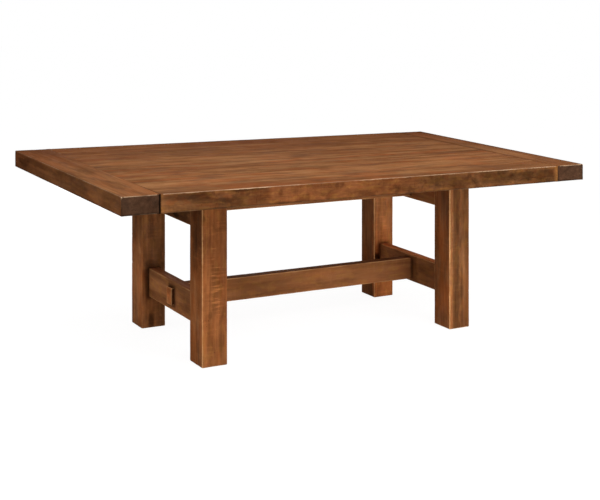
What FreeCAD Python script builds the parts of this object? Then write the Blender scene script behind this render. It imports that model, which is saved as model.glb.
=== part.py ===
import FreeCAD, Part
import os

# A trestle dining table: a thick plank top with breadboard ends, on two end frames that a long low
# stretcher and a beam under the top join. Millimetres, +Z up, +X along the table. The origin is on
# the floor under the middle of the top.

# Top
table_height = 762.0
top_length = 2274.0
top_width = 1242.0
edge_thickness = 72.0
plank_count = 8
plank_thickness = 44.0
strip_width = 90.0
breadboard_width = 156.0
edge_easing = 3.0

# Tongue-and-groove joint of the planks in the breadboard ends, with one peg from below per plank
tongue_length = 40.0
tongue_thickness = 16.0
tongue_setback = 40.0
breadboard_peg_diameter = 10.0
breadboard_peg_cover = 6.0
peg_slot_play = 2.0

# End frames
leg_side = 114.0
end_overhang = 455.0
side_overhang = 263.0
end_rail_thickness = 48.0
end_rail_depth = 181.0
end_stretcher_thickness = 48.0
end_stretcher_depth = 126.0
end_stretcher_bottom = 141.0
leg_tenon_length = 60.0
leg_tenon_thickness = 16.0
leg_tenon_shoulder = 14.0

# Long stretcher with through tenons, and the centre beam under the top
long_stretcher_thickness = 48.0
long_stretcher_depth = 100.0
through_tenon_shoulder = 13.0
through_tenon_projection = 14.0
tenon_peg_diameter = 12.0
tenon_peg_reach = 40.0
centre_beam_thickness = 48.0
centre_beam_depth = 166.0
beam_tenon_length = 24.0
beam_tenon_thickness = 16.0
beam_tenon_shoulder = 14.0

# Buttons that hold the top down, each with one countersunk screw
button_length = 46.0
button_width = 32.0
button_height = 24.0
button_tongue_length = 12.0
button_tongue_height = 10.0
rail_button_count = 2
beam_button_count = 3
button_screw_inset = 26.0
screw_length = 50.0
screw_radius = 2.2
screw_head_radius = 4.4
screw_head_height = 2.6
screw_tip_length = 6.0
screw_drive_width = 2.4
screw_drive_depth = 1.6

# Play in the glued and loose joints
joint_clearance = 0.2

# Places that follow from the sizes
half_length = top_length / 2
half_width = top_width / 2
edge_bottom = table_height - edge_thickness
plank_bottom = table_height - plank_thickness
plank_middle = table_height - plank_thickness / 2
plank_width = top_width / plank_count
field_half_length = half_length - breadboard_width
leg_outer_x = half_length - end_overhang
leg_outer_y = half_width - side_overhang
leg_inner_x = leg_outer_x - leg_side
leg_inner_y = leg_outer_y - leg_side
frame_x = leg_outer_x - leg_side / 2
end_rail_bottom = plank_bottom - end_rail_depth
end_rail_inner_x = frame_x - end_rail_thickness / 2
end_stretcher_top = end_stretcher_bottom + end_stretcher_depth
end_stretcher_middle = end_stretcher_bottom + end_stretcher_depth / 2
end_stretcher_inner_x = frame_x - end_stretcher_thickness / 2
end_stretcher_outer_x = frame_x + end_stretcher_thickness / 2
centre_beam_bottom = plank_bottom - centre_beam_depth

SAME_PLACE = 1e-6
UP = FreeCAD.Vector(0, 0, 1)
SIDES = (-1, 1)


def block(x_span, y_span, z_span):
    """A box between two values on each axis, in either order."""
    low = FreeCAD.Vector(min(x_span), min(y_span), min(z_span))
    sizes = [abs(span[1] - span[0]) for span in (x_span, y_span, z_span)]
    return Part.makeBox(*sizes, low)


def about(middle, width):
    """The span of a width about its middle."""
    return (middle - width / 2, middle + width / 2)


def widened(span, play):
    """A span that is larger by the play at both ends."""
    return (min(span) - play, max(span) + play)


def shared_out(half_span, count):
    """The middles of equal shares of a span about 0."""
    share = 2 * half_span / count
    return [(index + 0.5) * share - half_span for index in range(count)]


def joined(body, *additions):
    """One solid of a body and the pieces that grow out of it."""
    return body.fuse(list(additions)).removeSplitter()


def runs_along(edge, axis):
    """True where a straight edge lies along X (0), Y (1) or Z (2)."""
    step = edge.lastVertex().Point - edge.firstVertex().Point
    return abs(abs(step[axis]) - step.Length) < SAME_PLACE


def eased(body, is_eased):
    """The body with the chosen edges rounded over, as a maker breaks sharp arrises."""
    chosen = [edge for edge in body.Edges if is_eased(edge, edge.CenterOfMass)]
    return body.makeFillet(edge_easing, chosen)


def tongue_spans(side, y_span, play):
    """Spans of a breadboard tongue at one end of the top, or with play, of its groove."""
    x_span = (side * field_half_length, side * (field_half_length + tongue_length + play))
    return x_span, widened(y_span, play), about(plank_middle, tongue_thickness + 2 * play)


def breadboard_peg_points():
    """Where the breadboard pegs start, on the underside of the breadboard ends."""
    peg_x = field_half_length + tongue_length / 2
    rows = shared_out(half_width, plank_count)
    return [FreeCAD.Vector(side * peg_x, y, edge_bottom) for side in SIDES for y in rows]


def breadboard_peg(point):
    """A round peg from the underside up through the tongue."""
    top = plank_middle + tongue_thickness / 2 + breadboard_peg_cover
    return Part.makeCylinder(breadboard_peg_diameter / 2, top - edge_bottom, point)


def peg_slot(point):
    """A slot in a tongue, long across the table so that the planks can swell and shrink."""
    radius = breadboard_peg_diameter / 2
    low = FreeCAD.Vector(point.x, point.y - peg_slot_play, plank_bottom)
    high = FreeCAD.Vector(point.x, point.y + peg_slot_play, plank_bottom)
    ends = [Part.makeCylinder(radius, plank_thickness, middle) for middle in (low, high)]
    straight = block(about(point.x, 2 * radius), (low.y, high.y), (plank_bottom, table_height))
    return joined(straight, *ends)


def top_plank(index):
    """One plank of the field, with a tongue at each end. The outer planks have an eased arris."""
    y_span = (index * plank_width - half_width, (index + 1) * plank_width - half_width)
    field_x = (-field_half_length, field_half_length)
    plank = block(field_x, y_span, (plank_bottom, table_height))
    if index in (0, plank_count - 1):
        outer_y = -half_width if index == 0 else half_width
        plank = eased(plank, lambda edge, middle: runs_along(edge, 0)
                      and abs(middle.y - outer_y) < SAME_PLACE and middle.z > plank_middle)
    reach = half_width - tongue_setback
    tongue_y = (max(y_span[0], -reach), min(y_span[1], reach))
    plank = joined(plank, *[block(*tongue_spans(side, tongue_y, 0)) for side in SIDES])
    slots = [peg_slot(point) for point in breadboard_peg_points() if y_span[0] < point.y < y_span[1]]
    return plank.cut(slots + screws())


def edge_strip(side):
    """A strip under the outer plank of one long side, which makes the edge look thick."""
    y_span = (side * half_width, side * (half_width - strip_width))
    strip = block((-field_half_length, field_half_length), y_span, (edge_bottom, plank_bottom))
    return eased(strip, lambda edge, middle: runs_along(edge, 0)
                 and abs(middle.y - side * half_width) < SAME_PLACE and middle.z < edge_bottom + SAME_PLACE)


def breadboard_end(side):
    """The board across one end of the top, grooved for the tongues and bored for the pegs."""
    x_span = (side * field_half_length, side * half_length)
    board = block(x_span, (-half_width, half_width), (edge_bottom, table_height))
    board = eased(board, lambda edge, middle: abs(middle.x - side * field_half_length) > SAME_PLACE)
    reach = half_width - tongue_setback
    groove = block(*tongue_spans(side, (-reach, reach), joint_clearance))
    pegs = [breadboard_peg(point) for point in breadboard_peg_points() if point.x * side > 0]
    return board.cut([groove] + pegs)


def leg_tenon_spans(side_x, side_y, z_span, play):
    """Spans of a tenon in the inner face of a leg, or with play, of its mortise."""
    x_span = about(side_x * frame_x, leg_tenon_thickness + 2 * play)
    y_span = (side_y * leg_inner_y, side_y * (leg_inner_y + leg_tenon_length + play))
    return x_span, y_span, widened(z_span, play)


def rail_tenon_z():
    """Lowest and highest point of the end rails' tenons."""
    return (end_rail_bottom + leg_tenon_shoulder, plank_bottom - leg_tenon_shoulder)


def stretcher_tenon_z():
    """Lowest and highest point of the end stretchers' tenons."""
    return (end_stretcher_bottom + leg_tenon_shoulder, end_stretcher_top - leg_tenon_shoulder)


def leg(side_x, side_y):
    """A square post from the floor to the planks, mortised for the end rail and end stretcher."""
    x_span = (side_x * leg_inner_x, side_x * leg_outer_x)
    y_span = (side_y * leg_inner_y, side_y * leg_outer_y)
    post = block(x_span, y_span, (0, plank_bottom))
    post = eased(post, lambda edge, middle: middle.z < plank_bottom - SAME_PLACE)
    heights = (rail_tenon_z(), stretcher_tenon_z())
    mortises = [block(*leg_tenon_spans(side_x, side_y, z, joint_clearance)) for z in heights]
    return post.cut(mortises)


def beam_tenon_spans(side, play):
    """Spans of the centre beam's stub tenon in an end rail, or with play, of its mortise."""
    x_span = (side * end_rail_inner_x, side * (end_rail_inner_x + beam_tenon_length + play))
    z_span = (centre_beam_bottom + beam_tenon_shoulder, plank_bottom - beam_tenon_shoulder)
    return x_span, about(0, beam_tenon_thickness + 2 * play), widened(z_span, play)


def end_rail(side):
    """The deep rail between the tops of two legs, slotted for the buttons."""
    y_span = (-leg_inner_y, leg_inner_y)
    x_span = about(side * frame_x, end_rail_thickness)
    rail = block(x_span, y_span, (end_rail_bottom, plank_bottom))
    rail = eased(rail, lambda edge, middle: runs_along(edge, 1)
                 and middle.z < end_rail_bottom + SAME_PLACE)
    rail = joined(rail, *[block(*leg_tenon_spans(side, end, rail_tenon_z(), 0)) for end in SIDES])
    return rail.cut([block(*beam_tenon_spans(side, joint_clearance))] + button_slots())


def through_tenon_spans(side, play):
    """Spans of the long stretcher's tenon at one end, or with play, of the mortise that it fills."""
    x_span = (side * end_stretcher_inner_x, side * (end_stretcher_outer_x + through_tenon_projection))
    tenon_height = long_stretcher_depth - 2 * through_tenon_shoulder
    z_span = widened(about(end_stretcher_middle, tenon_height), play)
    return x_span, about(0, long_stretcher_thickness + 2 * play), z_span


def tenon_peg(side):
    """A round peg from under an end stretcher up into the through tenon."""
    tenon_bottom = min(through_tenon_spans(side, 0)[2])
    start = FreeCAD.Vector(side * frame_x, 0, end_stretcher_bottom)
    height = tenon_bottom + tenon_peg_reach - end_stretcher_bottom
    return Part.makeCylinder(tenon_peg_diameter / 2, height, start)


def end_stretcher(side):
    """The low rail between two legs, with a through mortise for the long stretcher."""
    x_span = about(side * frame_x, end_stretcher_thickness)
    stretcher = block(x_span, (-leg_inner_y, leg_inner_y), (end_stretcher_bottom, end_stretcher_top))
    stretcher = eased(stretcher, lambda edge, middle: runs_along(edge, 1))
    tenons = [block(*leg_tenon_spans(side, end, stretcher_tenon_z(), 0)) for end in SIDES]
    mortise = block(*through_tenon_spans(side, joint_clearance))
    return joined(stretcher, *tenons).cut([mortise, tenon_peg(side)])


def through_tenon(side):
    """A tenon whose free end is eased where it comes out of the end stretcher."""
    tenon = block(*through_tenon_spans(side, 0))
    root_x = side * end_stretcher_inner_x
    free_x = side * (end_stretcher_outer_x + through_tenon_projection)
    return eased(tenon, lambda edge, middle: abs(middle.x - free_x) < SAME_PLACE < abs(middle.x - root_x))


def long_stretcher():
    """The low rail along the table, shouldered between the end stretchers."""
    x_span = (-end_stretcher_inner_x, end_stretcher_inner_x)
    z_span = about(end_stretcher_middle, long_stretcher_depth)
    stretcher = block(x_span, about(0, long_stretcher_thickness), z_span)
    stretcher = eased(stretcher, lambda edge, middle: runs_along(edge, 0))
    stretcher = joined(stretcher, *[through_tenon(side) for side in SIDES])
    return stretcher.cut([tenon_peg(side) for side in SIDES])


def centre_beam():
    """The beam under the middle of the top, tenoned into the end rails."""
    x_span = (-end_rail_inner_x, end_rail_inner_x)
    beam = block(x_span, about(0, centre_beam_thickness), (centre_beam_bottom, plank_bottom))
    beam = eased(beam, lambda edge, middle: runs_along(edge, 0)
                 and middle.z < centre_beam_bottom + SAME_PLACE)
    beam = joined(beam, *[block(*beam_tenon_spans(side, 0)) for side in SIDES])
    return beam.cut(button_slots())


def button_places():
    """Placements of the buttons: each starts on a rail's face at the planks and points away from it."""
    places = []
    for side in SIDES:
        for y in shared_out(leg_inner_y, rail_button_count):
            places.append((side * end_rail_inner_x, y, 180 if side > 0 else 0))
        for x in shared_out(end_rail_inner_x, beam_button_count):
            places.append((x, side * centre_beam_thickness / 2, 90 * side))
    return [FreeCAD.Placement(FreeCAD.Vector(x, y, plank_bottom), FreeCAD.Rotation(UP, angle))
            for x, y, angle in places]


def at_each_place(shape):
    """Copies of a shape at every button."""
    return [shape.transformed(place.toMatrix()) for place in button_places()]


def button_tongue(play):
    """The tongue of a button, or with play, the slot that it sits in."""
    y_span = about(0, button_width + 2 * play)
    z_span = (-button_height, button_tongue_height - button_height)
    return block((-button_tongue_length - play, 0), y_span, widened(z_span, play))


def button_slots():
    """The slots that all the tongues sit in."""
    return at_each_place(button_tongue(joint_clearance))


def screw_body():
    """A countersunk wood screw with its head flush with the underside of a button."""
    profile = [(0, 0), (screw_head_radius, 0), (screw_radius, screw_head_height),
               (screw_radius, screw_length - screw_tip_length), (0, screw_length), (0, 0)]
    points = [FreeCAD.Vector(button_screw_inset + r, 0, z - button_height) for r, z in profile]
    axis_point = FreeCAD.Vector(button_screw_inset, 0, 0)
    return Part.Face(Part.makePolygon(points)).revolve(axis_point, UP, 360)


def screws():
    """All the screws with plain heads, as they fill their holes."""
    return at_each_place(screw_body())


def button_screws():
    """The screws with a square recess for the driver in each head."""
    drive = block(about(button_screw_inset, screw_drive_width), about(0, screw_drive_width),
                  (-button_height, screw_drive_depth - button_height))
    return at_each_place(screw_body().cut(drive))


def top_buttons():
    """Wooden buttons, bored clear of the screw's shank."""
    body = block((0, button_length), about(0, button_width), (-button_height, 0))
    bottom = FreeCAD.Vector(button_screw_inset, 0, -button_height)
    bore = Part.makeCylinder(screw_radius + joint_clearance, button_height, bottom)
    return at_each_place(joined(body, button_tongue(0)).cut([screw_body(), bore]))


def all_parts():
    """Every node of the table by its name."""
    parts = {f"top_plank_{index + 1}": [top_plank(index)] for index in range(plank_count)}
    for side, end in zip(SIDES, ("left", "right")):
        parts[f"breadboard_end_{end}"] = [breadboard_end(side)]
        parts[f"end_rail_{end}"] = [end_rail(side)]
        parts[f"end_stretcher_{end}"] = [end_stretcher(side)]
        for side_y, row in zip(SIDES, ("front", "back")):
            parts[f"leg_{row}_{end}"] = [leg(side, side_y)]
    for side, row in zip(SIDES, ("front", "back")):
        parts[f"edge_strip_{row}"] = [edge_strip(side)]
    parts["long_stretcher"] = [long_stretcher()]
    parts["centre_beam"] = [centre_beam()]
    parts["breadboard_pegs"] = [breadboard_peg(point) for point in breadboard_peg_points()]
    parts["tenon_pegs"] = [tenon_peg(side) for side in SIDES]
    parts["top_buttons"] = top_buttons()
    parts["button_screws"] = button_screws()
    return parts


os.makedirs("parts", exist_ok=True)
for name, shapes in all_parts().items():
    solids = [solid for shape in shapes for solid in shape.Solids]
    node = solids[0] if len(solids) == 1 else Part.makeCompound(solids)
    node.exportStep(f"parts/{name}.step")
    litres = node.Volume / 1e6
    print(f"{name}: {len(solids)} solid(s), {litres:.3f} litres, valid {node.isValid()}")
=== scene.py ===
# %% [markdown] # A trestle dining table in stained wood  The table is a thick plank top with
# breadboard ends, on two end frames that a low stretcher joins. Its construction comes from a packed
# CAD model: every board already has its real size and place. This lesson dresses those boards: it
# wears down their arrises, stains them, and sets up the camera and the studio.

# %% Load the frame
import math

import bpy
from mathutils import Matrix, Vector


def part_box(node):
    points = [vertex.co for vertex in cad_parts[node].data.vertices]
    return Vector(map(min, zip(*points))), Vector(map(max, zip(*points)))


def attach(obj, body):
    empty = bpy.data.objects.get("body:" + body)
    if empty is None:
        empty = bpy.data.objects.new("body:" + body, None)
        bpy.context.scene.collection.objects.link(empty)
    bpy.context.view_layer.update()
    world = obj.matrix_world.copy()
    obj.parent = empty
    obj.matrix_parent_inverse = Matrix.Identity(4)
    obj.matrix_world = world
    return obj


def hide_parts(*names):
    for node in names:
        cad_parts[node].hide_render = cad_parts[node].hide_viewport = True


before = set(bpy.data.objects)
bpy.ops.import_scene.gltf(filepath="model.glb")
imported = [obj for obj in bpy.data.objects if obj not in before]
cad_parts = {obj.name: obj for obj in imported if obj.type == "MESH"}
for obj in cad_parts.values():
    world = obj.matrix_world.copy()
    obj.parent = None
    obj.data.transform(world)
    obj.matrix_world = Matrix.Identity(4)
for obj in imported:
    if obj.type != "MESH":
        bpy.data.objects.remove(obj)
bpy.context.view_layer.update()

# %% [markdown]
# ## The camera
#
# The photograph was taken from the left, a little above the top, and its uprights were straightened
# afterwards: every leg stands exactly upright in it, while the horizon leans by a few hundredths.
# A plain camera can't do both. A camera's matrix can: its sideways axis is tilted by that lean, its
# upward axis stays upright, and its view axis still points at the middle of the picture. An object's
# own place, turn and size can't hold such a slanted matrix, but the inverse matrix of its parent can,
# so the camera hangs on an empty. The focal length is given in pixels of a picture 600 pixels wide.

# %% Hang up the camera
PICTURE_WIDTH = 600
PICTURE_HEIGHT = 500
FOCAL_PIXELS = 1179.1
HORIZON_ROW = -15.05
HORIZON_LEAN = 0.0299
CAMERA_TURN = math.radians(-31.01)
CAMERA_PLACE = Vector((-2.7766, -4.6024, 1.5452))
SENSOR_WIDTH = 36


def photo_camera():
    """The camera of the photograph, with upright verticals and a leaning horizon."""
    up = Vector((0, 0, 1))
    right = Vector((math.cos(CAMERA_TURN), math.sin(CAMERA_TURN), 0))
    forward = Vector((-math.sin(CAMERA_TURN), math.cos(CAMERA_TURN), 0))
    below_horizon = (PICTURE_HEIGHT - 1) / 2 - HORIZON_ROW
    to_middle = forward * FOCAL_PIXELS - up * below_horizon
    sideways = (right + up * HORIZON_LEAN).normalized()
    slanted = Matrix((sideways, up, -to_middle.normalized())).transposed().to_4x4()
    data = bpy.data.cameras.new("photo_camera")
    data.sensor_width = SENSOR_WIDTH
    data.lens = to_middle.length * SENSOR_WIDTH / PICTURE_WIDTH
    camera = bpy.data.objects.new("photo_camera", data)
    hanger = bpy.data.objects.new("camera_hanger", None)
    for item in (hanger, camera):
        bpy.context.scene.collection.objects.link(item)
    camera.parent = hanger
    camera.matrix_parent_inverse = Matrix.Translation(CAMERA_PLACE) @ slanted
    return camera


bpy.context.scene.camera = photo_camera()
print("lens:", round(bpy.context.scene.camera.data.lens, 2), "mm")

# %% [markdown]
# ## Node maths as Python
#
# Shaders and Geometry Nodes are graphs, and long formulas are hard to read as graphs. The class below
# wraps a socket, so that `1 - mask * 0.5` adds the Math nodes for us. Vectors go through Vector Math
# nodes. Any other node is made by one method, which sets the node's own options before its sockets.

# %% Wrap sockets


def arithmetic(operation, swapped=False):
    """A method that adds one Math node. Swapped, it serves a number on the left, as in 1 - mask."""
    def method(wire, other=0.0):
        return wire.maths(operation, other, wire) if swapped else wire.maths(operation, wire, other)
    return method


class Wire:
    """A socket that can be used in arithmetic, and that can make more nodes in its tree."""

    __add__, __radd__ = arithmetic("ADD"), arithmetic("ADD", True)
    __sub__, __rsub__ = arithmetic("SUBTRACT"), arithmetic("SUBTRACT", True)
    __mul__, __rmul__ = arithmetic("MULTIPLY"), arithmetic("MULTIPLY", True)
    __truediv__, __abs__ = arithmetic("DIVIDE"), arithmetic("ABSOLUTE")
    least, most = arithmetic("MINIMUM"), arithmetic("MAXIMUM")

    def __init__(self, tree, socket=None):
        self.tree = tree
        self.socket = socket

    def node(self, kind, settings=None, sockets=None, out=0):
        """A new node of the same tree, as the wire of one of its outputs."""
        made = self.tree.nodes.new(kind)
        for name, value in (settings or {}).items():
            setattr(made, name, value)
        for key, value in (sockets or {}).items():
            if isinstance(value, Wire):
                self.tree.links.new(value.socket, made.inputs[key])
            else:
                made.inputs[key].default_value = value
        return Wire(self.tree, made.outputs[out] if made.outputs else None)

    def also(self, out):
        """Another output of the same node."""
        return Wire(self.tree, self.socket.node.outputs[out])

    def is_vector(self):
        return self.socket.type == "VECTOR"

    def maths(self, operation, first, second=0.0):
        """One Math node, or a Vector Math node where a vector takes part."""
        pair = (first, second)
        if any(isinstance(item, Wire) and item.is_vector() for item in pair):
            pair = [(item,) * 3 if isinstance(item, (int, float)) else item for item in pair]
            kind = "ShaderNodeVectorMath"
        else:
            kind = "ShaderNodeMath"
        return self.node(kind, {"operation": operation}, {0: pair[0], 1: pair[1]})

    def step(self, low, high):
        """0 up to low, 1 from high on, and a soft step between them."""
        return self.node("ShaderNodeMapRange", {"interpolation_type": "SMOOTHSTEP"},
                         {"Value": self, "From Min": low, "From Max": high})

    def length(self):
        return self.node("ShaderNodeVectorMath", {"operation": "LENGTH"}, {0: self}, out="Value")

    def split(self):
        """The three parts of a vector."""
        parts = self.node("ShaderNodeSeparateXYZ", {}, {0: self})
        return parts, parts.also(1), parts.also(2)

    def joined(self, x=0.0, y=0.0, z=0.0):
        """A vector of three values."""
        return self.node("ShaderNodeCombineXYZ", {}, {0: x, 1: y, 2: z})

    def noise(self, stretch, detail=3.0, roughness=0.5, distortion=0.0):
        """Soft noise at a place, with its own frequency per metre on each axis."""
        return self.node("ShaderNodeTexNoise", {}, {
            "Vector": self * stretch, "Scale": 1.0, "Detail": detail,
            "Roughness": roughness, "Distortion": distortion})


print("wire methods:", len([name for name in vars(Wire) if not name.startswith("__")]))

# %% [markdown]
# ## Colours
#
# Stain colours are easiest to judge as a picture shows them, from 0 to 255. Nodes calculate in linear
# light, so each colour is converted once, here. Colours are mixed by Mix nodes, because a Math node
# would turn them grey. The other helpers start a finish, and close it with a relief and one shader.

# %% Mix colours


def stain(red, green, blue):
    """A colour as a picture shows it, from 0 to 255, turned into the linear light that nodes use."""
    def linear(value):
        share = value / 255
        return share / 12.92 if share <= 0.04045 else ((share + 0.055) / 1.055) ** 2.4
    return (linear(red), linear(green), linear(blue), 1.0)


def blended(factor, first, second):
    """A mix of two colours."""
    return factor.node("ShaderNodeMix", {"data_type": "RGBA", "blend_type": "MIX"},
                       {0: factor, 6: first, 7: second}, out=2)


def toned(colour, tone):
    """A colour made lighter or darker by a value."""
    grey = tone.node("ShaderNodeCombineColor", {}, {0: tone, 1: tone, 2: tone})
    return tone.node("ShaderNodeMix", {"data_type": "RGBA", "blend_type": "MULTIPLY"},
                     {0: 1.0, 6: colour, 7: grey}, out=2)


def blank_finish(name):
    """A new material with an empty node tree, and the wire to start it from."""
    material = bpy.data.materials.new(name)
    material.use_nodes = True
    material.node_tree.nodes.clear()
    return material, Wire(material.node_tree)


def bumped(height, strength, distance):
    """The normal of a relief that is too fine for the mesh."""
    return height.node("ShaderNodeBump", {}, {
        "Strength": strength, "Distance": distance, "Height": height})


def closed_finish(material, sockets):
    """The finish with one shader that has these sockets."""
    shader = Wire(material.node_tree).node("ShaderNodeBsdfPrincipled", {}, sockets)
    shader.node("ShaderNodeOutputMaterial", {}, {"Surface": shader})
    return material


print("mid brown in linear light:", [round(v, 3) for v in stain(142, 90, 54)])

# %% [markdown]
# ## The stained finish
#
# The wood is pale, stained warm brown and wiped, so the stain stays uneven: long streaks along the
# grain, some red, some grey, darker end grain, dark glaze caught at the joints, and pale arrises where
# the finish is rubbed through. A picture of wood would be quick, but it would repeat and stretch, so
# the pattern is worked out from noise. Wood looks right when marks of many sizes lie on top of each
# other, from bands as broad as a hand to single fibres. Every layer is the same soft noise, stretched
# along the grain. The table gives how often a layer repeats per metre along, across and through the
# grain, how fine its detail is, and between which noise values its mark appears. A shift keeps two
# layers from falling together.

# %% List the layers
LAYERS = {
    "wander": dict(stretch=(1.4, 9, 9), detail=2.0),
    "bands": dict(stretch=(0.5, 7, 7), detail=2.0, span=(0.36, 0.64)),
    "streaks": dict(stretch=(0.09, 1, 1), detail=4.0, roughness=0.6, span=(0.40, 0.66)),
    "rust": dict(stretch=(4.5, 13, 13), span=(0.46, 0.64)),
    "ash": dict(stretch=(5.5, 20, 20), shift=(5.2, 1.3, 8.1), span=(0.50, 0.68)),
    "honey": dict(stretch=(20, 48, 48), shift=(3.3, 8.8, 2.2), span=(0.50, 0.64)),
    "ember": dict(stretch=(26, 55, 55), shift=(7.1, 2.6, 4.4), span=(0.48, 0.64)),
    "heart": dict(stretch=(0.4, 30, 30), shift=(2.4, 7.7, 3.1), detail=1.0, span=(0.58, 0.70)),
    "mottle": dict(stretch=(9, 16, 16), shift=(1.1, 4.2, 6.3), detail=4.0),
    "lines": dict(stretch=(4, 110, 110), roughness=0.6, span=(0.35, 0.68)),
    "fibres": dict(stretch=(14, 520, 520), detail=2.0, roughness=0.6),
    "ring_bend": dict(stretch=(0.5, 4, 4), detail=2.0),
    "ring_depth": dict(stretch=(2, 30, 30), detail=2.0),
    "fleck": dict(stretch=(40, 100, 100), roughness=0.65),
    "end_rings": dict(stretch=(2, 30, 55), roughness=0.6),
    "end_pores": dict(stretch=(2, 380, 380), detail=2.0, roughness=0.6),
    "blotch": dict(stretch=(14, 20, 20), distortion=0.5, span=(0.44, 0.68)),
    "cloud": dict(stretch=(7, 7, 7), detail=2.0, span=(0.40, 0.64)),
    "curl": dict(stretch=(92, 9, 9), detail=2.0, roughness=0.6, span=(0.50, 0.66)),
    "curl_patch": dict(stretch=(6, 16, 16), detail=2.0, span=(0.38, 0.58)),
    "ticks": dict(stretch=(150, 26, 26), detail=1.0, span=(0.68, 0.76)),
    "stretches": dict(stretch=(7, 7, 7), roughness=0.6, span=(0.34, 0.60)),
    "ragged": dict(stretch=(70, 70, 70), detail=4.0, roughness=0.65),
    "smear": dict(stretch=(18, 32, 32), roughness=0.6),
}


def layer(wire, name, run=1.0, rows=1.0):
    """One layer of noise. A smaller run makes longer marks, and more rows make finer ones."""
    options = dict(LAYERS[name])
    along, across, through = options.pop("stretch")
    span, shift = options.pop("span", None), options.pop("shift", None)
    where = wire + shift if shift else wire
    noise = where.noise((along * run * rows, across * rows, through * rows), **options)
    return noise.step(*span) if span else noise


print("layers of noise:", len(LAYERS))

# %% [markdown]
# ## What a board knows
#
# Every board carries four values: its own place along, across and through the grain, its half size, a
# number that makes it differ from its neighbours, and how worn each arris is. The distance to the
# nearest arris is the second smallest of the three distances to the faces. A plank and the strip under
# it show one continuous front edge, so their side faces take the pattern from the table's own
# coordinates instead of the board's. A mark of use is an ellipsoid, and a board knows how strongly it
# shows at a place.

# %% Read a board
ON_FACE = (0.0004, 0.0025)
ON_END = (0.0002, 0.0012)
RIGHT_HALF = (-0.1, 0.1)
UPPER_HALF = (-0.002, 0.002)
SEED_SHIFT = (3.7, 1.9, 2.3)
WANDER = 0.03


class Board:
    """What a point on a board knows: its place, the gaps to the faces, its arris and its luck."""

    def __init__(self, start, look):
        def carried(name, out):
            return start.node("ShaderNodeAttribute", {"attribute_name": name}, out=out)
        self.place = carried("place", "Vector")
        self.seed = carried("seed", "Fac")
        self.worn = carried("worn", "Fac")
        self.spot = start.node("ShaderNodeTexCoord", out="Object")
        self.spot_x, self.spot_y, _ = self.spot.split()
        self.at_right = self.spot_x.step(*RIGHT_HALF)
        self.upper = self.place.split()[2].step(*UPPER_HALF)

        # Gaps to the end, side and flat faces, and to the nearest arris, in metres
        half = carried("half", "Vector")
        self.end_gap, self.side_gap, self.face_gap = (half - abs(self.place)).split()
        nearest = self.end_gap.least(self.side_gap).least(self.face_gap)
        self.farthest = self.end_gap.most(self.side_gap).most(self.face_gap)
        self.arris_gap = self.end_gap + self.side_gap + self.face_gap - nearest - self.farthest
        self.side_face = 1 - self.side_gap.step(*ON_FACE)
        self.end_grain = 1 - self.end_gap.step(*ON_END)
        flat = 1 - self.face_gap.step(*ON_FACE)
        self.flat_face = flat * (1 - self.end_grain) * (1 - self.side_face)

        # Where the grain is read, and three chances that a board has of its own
        seed = self.seed
        self.grain = self.place + seed.joined(*[seed * shift for shift in SEED_SHIFT])
        if look["one_edge"]:
            self.grain = self.grain + (self.spot - self.grain) * self.side_face
        wander = layer(self.grain, "wander") * WANDER
        self.figure = self.grain + wander.joined(0.0, wander, wander)
        chance = start.node("ShaderNodeTexWhiteNoise", {"noise_dimensions": "1D"}, {"W": seed},
                            out="Color")
        self.luck = chance.node("ShaderNodeSeparateColor", {}, {0: chance})
        self.rough = look["flat_blotch"] + self.side_face * (look["edge_blotch"] - look["flat_blotch"])

    def shows(self, mark, low=0.5, high=1.2, blur=None):
        """How strongly a mark shows: its depth in the middle, and nothing outside its reach."""
        centre, reach, depth = mark
        away = ((self.spot - centre) / reach).length()
        if blur:
            away = away + blur
        return (1 - away.step(low, high)) * depth


print("a point counts as on a face within", ON_FACE[1] * 1000, "mm of it")

# %% [markdown]
# ## The figure and the wiped stain
#
# The stain is mixed from a deep and a body colour in broad bands, then wiped: pale streaks, rust red
# and ash grey patches, and fine golden and red flecks. Painted shade darkens the top towards the back.
# The tone, a single value, holds what only makes the wood lighter or darker: rings, lines and fibres.

# %% Wipe the stain
RINGS_ACROSS = 34
RINGS_THROUGH = 21
RING_BEND = 10
RING_LEAST = 0.3
FIBRE_TONE = 0.3
BAND_SHARE = 0.6
SIDE_RUST = 0.5
GILT_SPAN = (0.50, 0.68)
# Where the painted shade towards the back starts and where it is full, in metres
FAR_SPAN = (-0.1, 0.8)


def wiped_colour(board, look, fleck):
    """The colour of the wiped stain, with painted shade that darkens the top towards the back."""
    figure, side = board.figure, board.side_face
    streaks = layer(figure, "streaks", rows=look["streak_rows"]) * (1 - side * look["side_plain"])
    rust = layer(figure, "rust") * (1 - side * SIDE_RUST) * board.luck.also(1)
    # Painted shade: the top and the ends of the breadboards darken towards the back
    painted_far_shade = board.spot_y.step(*FAR_SPAN) * (1 - side if look["one_edge"] else 1.0)
    coats = [
        (streaks * look["streaks"], "pale"),
        (rust * look["rust"], "red"),
        (layer(figure, "ash") * look["ash"], "grey"),
        *[(board.shows(mark), "red") for mark in look["warm"]],
        (fleck.step(*GILT_SPAN) * board.rough * look["gilt"], "gilding"),
        (layer(figure, "honey") * side * look["honey"], "gilding"),
        (layer(figure, "ember") * board.rough * look["ember"], "red"),
        (painted_far_shade * look["far"], "shade"),
    ]
    bands = layer(figure, "bands") * BAND_SHARE + board.luck * (1 - BAND_SHARE)
    colour = blended(bands, look["deep"], look["body"])
    for share, name in coats:
        colour = blended(share, colour, look[name])
    return colour


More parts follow.
